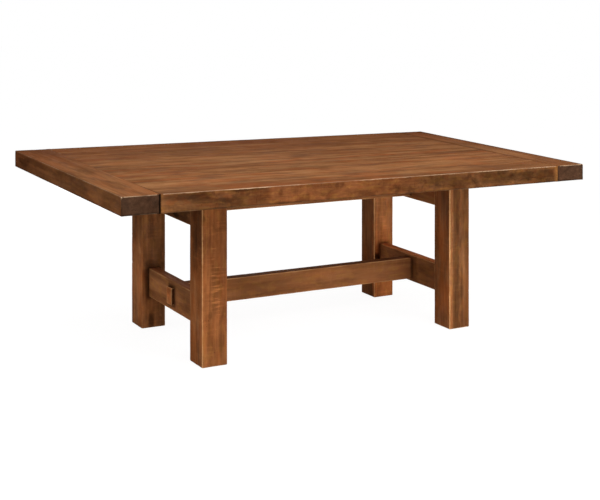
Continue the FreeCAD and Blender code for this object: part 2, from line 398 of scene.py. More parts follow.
def figure_tone(board, look, lines, fibres):
    """How light or dark the figure makes the wood."""
    figure = board.figure
    _, across, through = figure.split()
    phase = across * RINGS_ACROSS + through * RINGS_THROUGH + layer(figure, "ring_bend") * RING_BEND
    growth = phase.maths("SINE", phase * math.tau) * (RING_LEAST + layer(figure, "ring_depth"))
    tone = 1 + (lines - 0.5) * look["lines"] + (fibres - 0.5) * FIBRE_TONE + growth * look["growth"]
    mottling = look["mottle"] + board.side_face * (look["side_mottle"] - look["mottle"])
    tone = tone + (layer(figure, "mottle", look["run"]) - 0.5) * mottling
    tone = tone * (1 + (board.luck.also(2) - 0.5) * look["boards"])
    return tone * (1 - layer(figure, "heart") * look["heart"])


print("growth rings per metre:", RINGS_ACROSS, "across,", RINGS_THROUGH, "through the board")

# %% [markdown]
# ## End grain, glued strips and blotches
#
# End grain drinks the stain, so it is dark, with rings and pores. Each leg is glued up from strips,
# and every strip has its own tone: a white noise that is constant inside a strip does that. Blotches
# and clouds are where the stain went in unevenly, and the curly figure of the legs runs across the
# grain. Small pits and short ticks are the marks of the tools.

# %% Let the wood drink
END_RING_TONE = 1.1
END_PORE_TONE = 0.35
STRIP_SHIFT = (0, 0.37, 0.61)
CURL_MIDDLE = 0.35
CURL_SPAN = (0.6, 1.1)
PITS_PER_METRE = 32.0
PIT_SPAN = (0.03, 0.075)


def strip_tones(board, look):
    """One random value for each glued strip of a board."""
    strip = board.place * (0, look["strips"], look["strips"]) + board.seed.joined(board.seed)
    strip = strip.maths("FLOOR", strip + STRIP_SHIFT)
    return strip.node("ShaderNodeTexWhiteNoise", {"noise_dimensions": "3D"}, {"Vector": strip})


def blotched_tone(board, look, tone, fleck, blotch, curl):
    """The tone with end grain, strips, blotches and curly figure."""
    grain, rough = board.grain, board.rough
    rings = (layer(grain, "end_rings") - 0.5) * END_RING_TONE
    pores = (layer(grain, "end_pores") - 0.5) * END_PORE_TONE
    strip = strip_tones(board, look)
    tone = tone * (1 + board.end_grain * (rings + pores)) * (1 + (strip - 0.5) * look["strip_tone"])
    cloud = layer(grain, "cloud", look["run"])
    tone = tone * (1 - blotch * rough * look["blotch"]) * (1 - cloud * rough * look["cloud"])
    curly = look["curl"]
    for mark in look["curls"]:
        curly = curly + board.shows(mark, *CURL_SPAN)
    tone = tone + (curl - layer(grain, "curl_patch") * CURL_MIDDLE) * rough * curly * (0.5 + strip)
    return tone + (fleck - 0.5) * rough * look["fleck"]


def tool_pits(board):
    """Small round pits, where the surface is rough."""
    cell = board.grain.node("ShaderNodeTexVoronoi", {}, {
        "Vector": board.grain, "Scale": PITS_PER_METRE}, out="Distance")
    return (1 - cell.step(*PIT_SPAN)) * board.rough


print("pits per metre:", PITS_PER_METRE)

# %% [markdown]
# ## Glaze in the joints, and smudges
#
# Dark glaze stays where boards meet, and at the left seam it fades towards the back. The dark line in
# the left seam is partly glaze and partly painted shade of its groove. Painted shade darkens the lower
# arrises, and flat faces are darker in a band beside worn arrises, partly burnish and partly painted
# shade. Whole faces are made darker or lighter: the edges of the top partly as stain and partly as
# painted shade, the sides of the tenons as painted shade, and flat faces as painted light and shade.
# Last come the marks that this one table has: each smudge is an ellipsoid with a ragged border, some
# of them painted shadow and painted light, and glaze and painted shade gather round the mortises.

# %% Catch the glaze
RIGHT_SEAM = 0.6
LEFT_SEAM = 0.04
LEFT_SEAM_FRONT = 0.8
MORTISE_GLAZE_AND_SHADE = 0.6
LOW_SHADE_GAPS = 0.7
SMEAR = 1.2
# Where each mark starts and where it has faded, in metres
FRONT_SPAN = (0.28, 0.56)
JOINT_WIDTH = (0.001, 0.005)
GAP_WIDTH = (0.006, 0.009)
LOW_SHADE_WIDTH = (0.002, 0.010)
BURNISH_SHADE_WIDTH = (0.003, 0.018)
MORTISE_SHADE_WIDTH = (0.0, 0.022)
MORTISE_SHADE_RAGGED = 0.01
# The same as shares of wear, and of a smudge's reach
GLUED_WEAR = (0.35, 0.55)
BURNISH_SHADE_WEAR = (0.2, 0.5)
SMUDGE_SPAN = (0.45, 1.15)


def glazed_tone(board, look, tone, stretches):
    """The tone with glaze at the joints, painted shade on lower arrises, and faces made darker or
    lighter.
    """
    fade = 1.0
    if look["fading"]:
        left = LEFT_SEAM + (0 - board.spot_y).step(*FRONT_SPAN) * LEFT_SEAM_FRONT
        fade = board.at_right * RIGHT_SEAM + (1 - board.at_right) * left
    tight = 1 - board.worn.step(*GLUED_WEAR)
    seam = (1 - board.end_gap.step(0.0, look["glaze_width"])) * (1 - board.end_grain) * fade
    joint = (1 - board.arris_gap.step(*JOINT_WIDTH)) * tight * (1 - board.end_grain) * fade
    # Dark line in the left seam's end grain: partly glaze, partly painted shade of its groove
    gap = (1 - board.side_gap.step(*GAP_WIDTH)) * tight * board.end_grain * (1 - board.at_right)
    # Painted shade along the lower arrises, broken in stretches
    painted_low_shade = (1 - board.arris_gap.step(*LOW_SHADE_WIDTH)) * (1 - board.upper) * (1 - stretches * LOW_SHADE_GAPS)
    # A darker band on flat faces beside worn arrises, partly burnished finish and partly painted shade
    burnish_and_shade = (1 - board.arris_gap.step(*BURNISH_SHADE_WIDTH)) * board.worn.step(*BURNISH_SHADE_WEAR)
    tone = tone * (1 - seam * look["glaze"]) * (1 - gap * look["joint"]) * (1 - joint * look["joint"])
    # Side faces darker: the top's edges partly stain and partly painted shade, the tenons' sides
    # painted shade
    tone = tone * (1 - painted_low_shade * look["painted_low_shade"]) * (1 - board.side_face * look["side_stain_and_shade"])
    # Flat faces get painted shade, and painted light where the value is below 0
    return tone * (1 - board.flat_face * (look["painted_flat_light_and_shade"] + burnish_and_shade * look["burnish_and_shade"]))


def smudged_and_shaded_tone(board, look, tone, ragged):
    """The tone with the smudges of this table, some of them painted shadow and painted light, and with
    glaze and painted shade round its mortises.
    """
    blur = (layer(board.grain, "smear") - 0.5) * SMEAR
    # Smudges: stain marks, and on some faces painted shadow and painted light
    for mark in look["smudges_light_and_shade"]:
        tone = tone * (1 - board.shows(mark, *SMUDGE_SPAN, blur))
    # Glaze and painted shade in the corners round the mortises
    for low, high in look["joints"]:
        outside = abs(abs(board.spot) - tuple((low + high) / 2)) - tuple((high - low) / 2)
        away = outside.most(0).length() + (ragged - 0.5) * MORTISE_SHADE_RAGGED
        tone = tone * (1 - (1 - away.step(*MORTISE_SHADE_WIDTH)) * MORTISE_GLAZE_AND_SHADE)
    return tone


print("glaze at the seams: right", RIGHT_SEAM, "left", LEFT_SEAM, "to", LEFT_SEAM + LEFT_SEAM_FRONT)

# %% [markdown]
# ## Rubbed arrises
#
# Hands and chairs rub the finish off the free arrises. The pale wood shows in broken stretches, more
# on the upper arrises than on the lower ones, and always at the very corners. The front edge also has
# a golden band near its ends, partly rubbed wood and partly a painted highlight, stronger at the
# right.
# With that, all layers come together in one finish.

# %% Rub the arrises
RUB_START = 0.0006
RUB_RAGGED = 0.006
RUB_LEAST = 0.25
RUB_WEAR = (0.4, 0.9)
CORNER_WEAR = (0.4, 0.6)
CORNER_REACH = (0.003, 0.006)
SHORT_ARRIS = (0.006, 0.014)
TIP_START = (0.0, 0.003)
TIP_END = (0.006, 0.030)
LEFT_SEAM_HIGHLIGHT = 0.15
PIT_TONE = 0.6
RELIEF_STRENGTH = 0.35
RELIEF_DEPTH = 0.0012


def rubbing(board, look, ragged, stretches):
    """How far the finish is rubbed through."""
    rubbed = 1 - (board.arris_gap + (ragged - 0.5) * RUB_RAGGED).step(RUB_START, look["rub_width"])
    rubbed = rubbed * board.worn.step(*RUB_WEAR) * (RUB_LEAST + stretches * (1 - RUB_LEAST))
    rubbed = rubbed * (look["left_rub"] + board.at_right * (look["rub"] - look["left_rub"]))
    rubbed = rubbed * (look["low_rub"] + board.upper * (1 - look["low_rub"]))
    rubbed = rubbed * (1 - board.face_gap.step(*SHORT_ARRIS) * (1 - look["corner_rub"]))
    for mark in look["spared"]:
        rubbed = rubbed * (1 - board.shows(mark))
    corner = (1 - board.farthest.step(*CORNER_REACH)) * board.worn.step(*CORNER_WEAR)
    return rubbed.most(corner * board.place.split()[2].step(0.0, UPPER_HALF[1]))


def stained_wood(name, look):
    """A wood finish. The look names its colours and how strongly each mark shows."""
    material, start = blank_finish(name)
    board = Board(start, look)
    figure, grain = board.figure, board.grain
    lines, fibres = layer(figure, "lines"), layer(figure, "fibres")
    fleck, blotch = layer(grain, "fleck"), layer(grain, "blotch", look["run"])
    curl = layer(grain, "curl") * layer(grain, "curl_patch")
    stretches, ragged = layer(grain, "stretches"), layer(grain, "ragged")
    ticks = layer(grain, "ticks") * board.side_face * look["ticks"]
    pits = tool_pits(board)

    tone = figure_tone(board, look, lines, fibres)
    tone = blotched_tone(board, look, tone, fleck, blotch, curl) * (1 - pits * PIT_TONE) * (1 - ticks)
    tone = smudged_and_shaded_tone(board, look, glazed_tone(board, look, tone, stretches), ragged)
    colour = wiped_colour(board, look, fleck)
    colour = toned(blended(board.end_grain * look["end_dark"], colour, look["end"]), tone)
    rubbed = rubbing(board, look, ragged, stretches)
    colour = blended(rubbed, colour, look["bare"])
    # Painted highlight where the rounded seam arris catches light, partly rubbed wood, stronger at the
    # right
    seam_rub_and_highlight = board.side_face * board.end_gap.step(*TIP_START) * (1 - board.end_gap.step(*TIP_END))
    seam_rub_and_highlight = seam_rub_and_highlight * (LEFT_SEAM_HIGHLIGHT + board.at_right * (1 - LEFT_SEAM_HIGHLIGHT))
    colour = blended(seam_rub_and_highlight * look["seam_rub_and_highlight"], colour, look["gold"])

    # Each mark with its weight in the relief, and in how matt the finish is
    relief = fibres * 0.3 + lines * 0.3 + curl * 0.4 - pits * 2 - blotch * board.rough * 0.3
    roughness = look["roughness"] + (blotch - 0.5) * 0.12 + rubbed * 0.15 + board.end_grain * 0.2
    return closed_finish(material, {
        "Base Color": colour, "Roughness": roughness, "Specular IOR Level": look["specular"],
        "Normal": bumped(relief, RELIEF_STRENGTH, RELIEF_DEPTH)})


print("a finish reads", len(LAYERS), "layers and the marks of its look")

# %% [markdown]
# ## Marks on the top
#
# A mark is an ellipsoid about a place on a face. It is given by its two coordinates on that face, its
# reach along both in metres, and its depth: the share of the light that it takes away, or gives back
# where it is below 0. A helper for each direction adds where the face lies and how far a mark goes
# into the wood. The marks make this table look like itself and not like any stained table: dark
# smears along the front edge, a browner far end, painted shade along the back and right edges of the
# top, and stretches of arris that were spared.

# %% Mark the top
TOP_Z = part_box("top_plank_1")[1].z
EDGE_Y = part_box("top_plank_1")[0].y
BACK_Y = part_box("top_plank_8")[1].y
END_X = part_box("breadboard_end_left")[0].x
SKIN = 0.02
EDGE_SKIN = 0.03


def on_front(y, marks, skin=SKIN):
    """Marks on a face that looks forwards: X, Z, reach along both, and depth."""
    return [((x, y, z), (wide, skin, high), depth) for x, z, wide, high, depth in marks]


def on_side(x, marks, skin=SKIN):
    """Marks on a face that looks sideways: Y, Z, reach along both, and depth."""
    return [((x, y, z), (skin, wide, high), depth) for y, z, wide, high, depth in marks]


def on_top(z, marks, skin=SKIN):
    """Marks on a face that looks up: X, Y, reach along both, and depth."""
    return [((x, y, z), (long, wide, skin), depth) for x, y, long, wide, depth in marks]


FRONT_SMUDGES = on_front(EDGE_Y, [
    (-0.85, 0.746, 0.15, 0.018, 0.42), (-0.76, 0.724, 0.12, 0.014, 0.40),
    (-0.63, 0.755, 0.10, 0.006, 0.40), (-0.75, 0.700, 0.20, 0.020, 0.22),
    (-0.30, 0.752, 0.14, 0.008, 0.20), (0.15, 0.726, 0.10, 0.045, 0.30),
    (0.38, 0.735, 0.14, 0.045, 0.38), (0.62, 0.730, 0.18, 0.040, 0.45),
    (0.86, 0.728, 0.18, 0.032, 0.47), (0.90, 0.700, 0.14, 0.016, 0.30),
    (-0.15, 0.725, 0.34, 0.050, -0.09), (-0.95, 0.697, 0.05, 0.010, -0.40),
], EDGE_SKIN)
SPARED_ARRIS = on_front(EDGE_Y, [
    (-0.24, TOP_Z, 0.20, 0.03, 0.60), (0.14, TOP_Z, 0.20, 0.03, 0.35)], EDGE_SKIN)
EDGE_WARMTH = on_front(EDGE_Y, [(-0.20, 0.72, 0.50, 0.08, 0.5)], EDGE_SKIN)
TOP_SMUDGES_AND_SHADE = on_top(TOP_Z, [
    # The first mark is painted shade along the back edge; the rest are stain marks
    (0.0, BACK_Y, 8.0, 0.024, 0.40), (-0.45, 0.36, 0.45, 0.045, 0.20),
    (-0.25, -0.26, 0.28, 0.060, 0.22), (-0.12, -0.07, 0.30, 0.070, -0.16),
    (-0.65, -0.42, 0.26, 0.060, -0.10), (0.62, -0.28, 0.20, 0.050, -0.14),
    (0.72, -0.05, 0.40, 0.40, -0.07),
    (-0.94, 0.02, 0.10, 0.090, 0.20), (-0.94, -0.32, 0.12, 0.080, 0.18),
])
END_SMUDGES_AND_SHADE = on_side(END_X, [
    (0.30, 0.745, 0.22, 0.016, 0.40), (0.50, 0.728, 0.09, 0.020, 0.35),
    (0.05, 0.735, 0.10, 0.022, 0.18), (-0.35, 0.720, 0.20, 0.018, -0.08),
], EDGE_SKIN) + on_top(TOP_Z, [
    # Painted shade along the back edge and along the right end's outer edge
    (0.0, BACK_Y, 20.0, 0.024, 0.40), (-END_X, 0.0, 0.024, 8.0, 0.30),
    (-END_X - 0.075, 0.0, 0.07, 0.80, -0.13),
]) + on_front(EDGE_Y, [(-END_X - 0.078, 0.726, 0.09, 0.05, -0.22)])
print("marks on the top:", len(FRONT_SMUDGES), "on the edge,", len(TOP_SMUDGES_AND_SHADE), "on the planks,",
      len(END_SMUDGES_AND_SHADE), "on the breadboards")

# %% [markdown]
# ## Marks on the legs
#
# The legs differ most: one has a pale strip and a dark strip side by side, one a curly figure, one a
# dark scar at its foot, and their outer arrises are rubbed in some places and spared in others.
# Painted shadow darkens them under the top and beside the end stretchers, and painted light brightens
# the front of the back right leg. The places are given from the leg's own box, so that a mark stays on
# its leg.

# %% Mark the legs
leg_low, leg_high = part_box("leg_front_right")
leg_middle = (leg_low + leg_high) / 2
NEAR_Y = leg_low.y
FAR_Y = -leg_high.y
FRONT_RIGHT_LEG = on_front(NEAR_Y, [
    (leg_low.x + 0.010, 0.36, 0.014, 0.90, -0.28), (leg_low.x + 0.038, 0.36, 0.025, 1.20, 0.46),
    (leg_low.x + 0.090, 0.60, 0.020, 0.10, 0.05), (leg_low.x + 0.090, 0.22, 0.035, 0.45, 0.26),
    (leg_low.x + 0.080, 0.18, 0.006, 0.22, -0.35), (leg_low.x + 0.055, 0.58, 0.060, 0.08, -0.12),
]) + on_side(leg_low.x, [
    (leg_middle.y, 0.12, 0.10, 0.34, -0.08), (leg_middle.y, 0.60, 0.09, 0.26, -0.02)])
# Front left leg: stain marks, and painted shadow of the top on its upper front and upper left face
FRONT_LEFT_LEG = on_front(NEAR_Y, [
    (-0.646, 0.208, 0.012, 0.020, 0.25), (-0.625, 0.32, 0.08, 0.36, -0.08),
    (-0.672, 0.32, 0.024, 0.42, -0.30), (-0.603, 0.44, 0.045, 0.17, 0.16),
    (-0.625, 0.04, 0.080, 0.08, 0.16), (-0.592, 0.10, 0.014, 0.07, 0.16),
    (-0.620, 0.66, 0.07, 0.12, 0.12),
]) + on_side(-leg_high.x, [
    (leg_middle.y, 0.62, 0.09, 0.25, 0.52), (leg_middle.y, 0.04, 0.09, 0.07, 0.12),
    (leg_middle.y, 0.69, 0.09, 0.11, 0.35)])
# Back left leg: a dark scar at its foot, stain marks, painted shadow above the end stretcher, and on
# its left face painted light low down and painted shade higher up
BACK_LEFT_LEG = on_front(FAR_Y, [
    (-0.637, 0.032, 0.016, 0.044, 0.62), (-0.625, 0.20, 0.06, 0.40, 0.34),
    (-0.588, 0.42, 0.042, 0.18, 0.34), (-0.572, 0.20, 0.022, 0.50, 0.35),
    (-0.655, 0.44, 0.024, 0.12, -0.15), (-0.640, 0.285, 0.034, 0.020, 0.35),
]) + on_side(-leg_high.x, [
    (-leg_middle.y, 0.18, 0.09, 0.24, -0.66), (-leg_middle.y, 0.47, 0.09, 0.11, 0.28)])
# Back right leg: painted light on its front, which the table shades, painted shadow in the corner
# beside the end stretcher, and painted shade on its left face
BACK_RIGHT_LEG = on_front(FAR_Y, [
    (leg_middle.x, 0.25, 0.10, 0.70, -0.62), (leg_low.x + 0.03, 0.365, 0.05, 0.075, -0.26),
    (leg_middle.x, 0.05, 0.10, 0.10, -0.45), (leg_low.x + 0.016, 0.195, 0.026, 0.030, 0.85),
]) + on_side(leg_low.x, [(-leg_middle.y, 0.25, 0.09, 0.60, 0.18)])
LEG_SMUDGES_LIGHT_AND_SHADE = FRONT_RIGHT_LEG + FRONT_LEFT_LEG + BACK_LEFT_LEG + BACK_RIGHT_LEG
LEG_WARMTH = on_front(NEAR_Y, [(-0.625, 0.40, 0.10, 0.50, 0.55)])
LEG_WARMTH += on_front(FAR_Y, [(leg_middle.x, 0.12, 0.10, 0.25, 0.80)])
LEG_SPARED = on_front(NEAR_Y, [
    (leg_low.x, 0.33, SKIN, 0.60, -1.0), (-leg_high.x, 0.36, SKIN, 0.40, -0.5),
    (leg_high.x, 0.33, SKIN, 0.60, 0.6), (-leg_low.x, 0.33, SKIN, 0.60, 0.7),
]) + on_front(FAR_Y, [(leg_low.x, 0.30, SKIN, 0.30, -1.0), (-leg_high.x, 0.36, SKIN, 0.50, 0.8)])
LEG_CURLS = on_front(NEAR_Y, [(-0.600, 0.40, 0.045, 0.36, 0.26)])
print("marks on the legs:", len(LEG_SMUDGES_LIGHT_AND_SHADE), "smudges,", len(LEG_SPARED), "arrises")

# %% [markdown]
# ## Marks on the rails, and glaze and painted shade round the mortises
#
# The rails are in the shade of the top, and that shade is painted on them: darker under the top and
# beside the legs, with painted light on the top face of the right end stretcher. Glaze and painted
# shade gather where they meet the legs. The mortises are boxes: where a rail goes into a leg, or a
# tenon into an end stretcher. The table is symmetric, so each box is given once, for the corner where
# X and Y are above 0.

# %% Mark the rails
TENON_SHOULDER = 0.013
TENON_SHADE_REACH = 0.011
THIN_SKIN = 0.004
rail_low, rail_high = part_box("end_rail_left")
stretcher_low, stretcher_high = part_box("end_stretcher_right")
stretcher_middle = (stretcher_low + stretcher_high) / 2
long_low, long_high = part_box("long_stretcher")
# Left rail: painted shadow of the top on its upper part, a dark spot, and a lighter patch lower down
RAIL_SMUDGES_LIGHT_AND_SHADE = on_side(rail_low.x, [
    (0.0, rail_high.z, 0.50, 0.30, 0.66), (-0.037, rail_low.z + 0.019, 0.030, 0.012, 0.60),
    (0.08, 0.20, 0.20, 0.09, -0.40),
]) + on_side(stretcher_low.x, [
    # Right end stretcher's inner face: painted shade beside the front right leg and the long
    # stretcher's joint, and tone patches
    (-0.16, 0.20, 0.10, 0.09, 0.25), (0.14, 0.20, 0.12, 0.09, -0.30),
    (-0.235, 0.20, 0.03, 0.10, 0.40), (-0.045, 0.20, 0.03, 0.10, 0.35),
# Painted light on the top face of the right end stretcher
]) + on_top(stretcher_high.z, [(stretcher_middle.x, 0.0, 0.04, 0.40, -0.6)], THIN_SKIN)
LONG_SMUDGES = on_front(long_low.y, [(-0.35, 0.20, 0.55, 0.10, 0.18), (0.35, 0.20, 0.30, 0.10, 0.07)])
TENON_SMUDGES = [mark for tip in (-long_high.x, long_high.x)
                 for mark in on_side(tip, [(0.0, 0.204, 0.06, 0.08, -0.45)], THIN_SKIN)]
END_MORTISES = [[Vector([max(v, 0) for v in corner]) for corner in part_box(node)]
                for node in ("end_stretcher_right", "end_rail_right")]
TENON_MORTISE = [Vector((stretcher_low.x - TENON_SHADE_REACH, 0, long_low.z + TENON_SHOULDER)),
                 Vector((long_high.x, long_high.y, long_high.z - TENON_SHOULDER))]
print("marks on the rails:", len(RAIL_SMUDGES_LIGHT_AND_SHADE + LONG_SMUDGES + TENON_SMUDGES),
      "mortises:", len(END_MORTISES) + 1)

# %% [markdown]
# ## The looks of the top
#
# All boards share one recipe, and a look says how much of each mark a kind of board shows. The planks
# come first, with all entries. The edge strips and breadboards only name what is different on them:
# the breadboards run across the table, so their dark end grain is part of the front edge.

# %% Choose the looks of the top
top_look = {
    # Colours of the stain, and how much painted shade darkens the far side of the top
    "deep": stain(122, 77, 47), "body": stain(157, 103, 63), "pale": stain(186, 133, 86),
    "red": stain(148, 83, 46), "grey": stain(109, 75, 55), "end": stain(62, 45, 35),
    "bare": stain(210, 173, 138), "gold": stain(168, 112, 59), "gilding": stain(167, 111, 55),
    "shade": stain(101, 46, 18), "far": 0.58,
    # Figure
    "streaks": 0.46, "streak_rows": 16, "side_plain": 0.7, "rust": 1.0, "ash": 0.5,
    "gilt": 0.4, "honey": 0.45, "ember": 0.5, "lines": 0.15, "growth": 0.06, "heart": 0.06,
    "boards": 0.12, "mottle": 0.45, "side_mottle": 0.8, "run": 1.0, "one_edge": True,
    # Blotches, curls and tool marks
    "flat_blotch": 0.25, "edge_blotch": 1.0, "blotch": 0.35, "cloud": 0.3, "curl": 0.1, "curls": [],
    "fleck": 0.35, "ticks": 0.3, "strips": 1.0, "strip_tone": 0.0,
    # Glaze, painted shade on lower arrises and on whole faces, and smudges
    "glaze": 0.8, "glaze_width": 0.004, "joint": 0.0, "fading": True, "painted_low_shade": 0.0, "burnish_and_shade": 0.2,
    "end_dark": 0.3, "painted_flat_light_and_shade": 0.0, "side_stain_and_shade": 0.33,
    "smudges_light_and_shade": TOP_SMUDGES_AND_SHADE + FRONT_SMUDGES, "warm": EDGE_WARMTH, "joints": [],
    # Rubbed arrises, the painted highlight at the seams, and gloss
    "rub": 0.75, "left_rub": 0.95, "low_rub": 1.0, "corner_rub": 1.0, "rub_width": 0.0045,
    "spared": SPARED_ARRIS, "seam_rub_and_highlight": 0.4, "roughness": 0.55, "specular": 0.0005,
}
edge_look = {**top_look, "low_rub": 0.15, "painted_low_shade": 0.5, "smudges_light_and_shade": FRONT_SMUDGES}
# The breadboards' flat faces get painted light, and their side faces a little stain and painted shade
breadboard_look = {
    **top_look, "streaks": 0.25, "gilt": 0.1, "honey": 0.2, "ember": 0.25, "side_mottle": 0.7,
    "run": 0.45, "one_edge": False, "flat_blotch": 0.5, "edge_blotch": 0.7, "fleck": 0.2,
    "ticks": 0.0, "glaze": 0.2, "joint": 0.85, "painted_low_shade": 0.5, "end_dark": 0.88, "painted_flat_light_and_shade": -0.18,
    "side_stain_and_shade": 0.06, "smudges_light_and_shade": END_SMUDGES_AND_SHADE, "warm": [], "low_rub": 0.2, "corner_rub": 0.1,
    "spared": [], "seam_rub_and_highlight": 0.0,
}
print("a look has", len(top_look), "entries")

# %% [markdown]
# ## The looks of the base
#
# The base took the stain a little lighter and redder than the top. Its legs show glued strips, and
# their marks run long, because their grain is upright. The rails are plainer, with painted light on
# their top and bottom faces, while the long stretcher has painted shade on them. The tenons of the
# long stretcher are shown by their end grain, by a thin worn border, and by painted shade on their
# sides.

# %% Choose the looks of the base
# The legs' left and right faces get a little painted shade
leg_look = {
    **top_look, "deep": stain(129, 82, 51), "body": stain(166, 108, 66), "pale": stain(205, 144, 93),
    "red": stain(162, 92, 48), "grey": stain(135, 91, 65), "bare": stain(232, 176, 120),
    "gilding": stain(176, 121, 61), "far": 0.0,
    "streaks": 0.32, "streak_rows": 26, "side_plain": 0.0, "gilt": 0.12, "honey": 0.3,
    "ember": 0.3, "lines": 0.18, "growth": 0.05, "heart": 0.15, "mottle": 0.72, "side_mottle": 0.72,
    "run": 0.4, "one_edge": False, "flat_blotch": 1.0, "blotch": 0.24, "curl": 0.12,
    "curls": LEG_CURLS, "fleck": 0.2, "ticks": 0.0,
    "strips": 27.0, "strip_tone": 0.16, "glaze": 0.55, "glaze_width": 0.006, "fading": False,
    "painted_low_shade": 0.0, "burnish_and_shade": 0.0, "painted_flat_light_and_shade": 0.04, "side_stain_and_shade": 0.0, "smudges_light_and_shade": LEG_SMUDGES_LIGHT_AND_SHADE,
    "warm": LEG_WARMTH, "joints": END_MORTISES, "rub": 0.9, "left_rub": 0.5, "rub_width": 0.006,
    "spared": LEG_SPARED, "seam_rub_and_highlight": 0.0, "specular": 0.001,
}
# Painted light lightens the top and bottom faces of the rails, end stretchers and centre beam
rail_look = {
    **leg_look, "streaks": 0.25, "ash": 0.2, "lines": 0.1, "heart": 0.1, "flat_blotch": 0.5,
    "edge_blotch": 0.5, "curls": [], "strip_tone": 0.0, "glaze_width": 0.014, "end_dark": 0.1,
    "painted_flat_light_and_shade": -0.5, "smudges_light_and_shade": RAIL_SMUDGES_LIGHT_AND_SHADE, "warm": [], "joints": [TENON_MORTISE],
    "rub": 0.5, "spared": [],
}
# Painted shade darkens the long stretcher's top and bottom faces
stretcher_look = {**rail_look, "painted_flat_light_and_shade": 0.4, "joints": [], "smudges_light_and_shade": LONG_SMUDGES}
# Painted shade, partly glaze, darkens the tenons' sides and their top and bottom faces
tenon_look = {
    **stretcher_look, "smudges_light_and_shade": TENON_SMUDGES, "glaze": 0.0, "end_dark": 0.0, "painted_flat_light_and_shade": 0.6,
    "side_stain_and_shade": 0.7, "rub": 0.7, "left_rub": 0.7,
}
LOOKS = {
    "plank": top_look, "edge": edge_look, "breadboard": breadboard_look, "leg": leg_look,
    "rail": rail_look, "stretcher": stretcher_look, "tenon": tenon_look,
}
FINISH = {name: stained_wood(name + "_stain", look) for name, look in LOOKS.items()}
print("finishes:", {name: len(made.node_tree.nodes) for name, made in FINISH.items()})

# %% [markdown]
# ## One worn board
#
# Every visible piece is a board with the same history: sawn, planed, then rubbed at its free arrises
# and left crisp where it is glued. That is a rule, so one Geometry Nodes tree makes all of them.
# It starts from a cube with many rows, crowds the rows towards the arrises, and rounds each arris by
# pulling its points onto a circle about an inner box. The radius varies along the arris, with a few
# chips. Two vectors say how worn the low and high faces are, so that a plank can be worn at the front
# and tight against its neighbour. The tree also stores the four values that the stain reads.

# %% Grow the worn board tree
BOARD_INPUTS = {
    "Size": "NodeSocketVector", "Centre": "NodeSocketVector", "Turn": "NodeSocketVector",
    "Cuts Along": "NodeSocketInt", "Cuts Across": "NodeSocketInt", "Cuts Up": "NodeSocketInt",
    "Worn Low": "NodeSocketVector", "Worn High": "NodeSocketVector",
    "Worn Radius": "NodeSocketFloat", "Tight Radius": "NodeSocketFloat", "Chips": "NodeSocketFloat",
    "Hollows": "NodeSocketFloat", "Dent": "NodeSocketVector", "Dent Depth": "NodeSocketFloat",
    "Dent Reach": "NodeSocketFloat", "Seed": "NodeSocketFloat", "Finish": "NodeSocketMaterial",
}
CROWDING = 0.05
ARRIS_REACH = 0.012
SHARP = 1e6
PLACE_SHIFT = (3.1, 1.7, 2.9)
WAVES_PER_METRE = 14
CHIPS_PER_METRE = 55
CHIP_LEVEL = 0.62
LEAST_RADIUS = 0.35
WAVE_RADIUS = 1.3
HOLLOW_STRETCH = (5, 16, 16)
HOLLOW_LEVEL = 0.3


def stored(geometry, name, kind, value):
    """The same geometry with one more named value on its points."""
    return geometry.node("GeometryNodeStoreNamedAttribute", {"data_type": kind}, {
        "Geometry": geometry, "Name": name, "Value": value})


def arris_wear(given, half, place):
    """How worn the arris is that a point belongs to, from 0 to 1."""
    high_face = place.maths("SIGN", place).most(0)
    near = ((ARRIS_REACH - (half - abs(place))) * SHARP).most(0).least(1)
    wear = given.also("Worn Low") * (1 - high_face) + given.also("Worn High") * high_face
    along, across, through = (1 + (wear - 1) * near).split()
    return along * across * through


def arris_radius(given, place, spot, worn):
    """The radius of the arris, with waves, chips and one dent."""
    waves = spot.noise((WAVES_PER_METRE,) * 3, 3.0, 0.6)
    chips = (spot.noise((CHIPS_PER_METRE,) * 3, 2.0) - CHIP_LEVEL).most(0)
    bite = (1 - (place - given.also("Dent")).length() / given.also("Dent Reach")).most(0)
    eased = worn.maths("SQRT", worn) * given.also("Worn Radius")
    eased = eased * (LEAST_RADIUS + waves * WAVE_RADIUS)
    radius = given.also("Tight Radius") + eased + worn * chips * given.also("Chips")
    return radius + bite * given.also("Dent Depth")


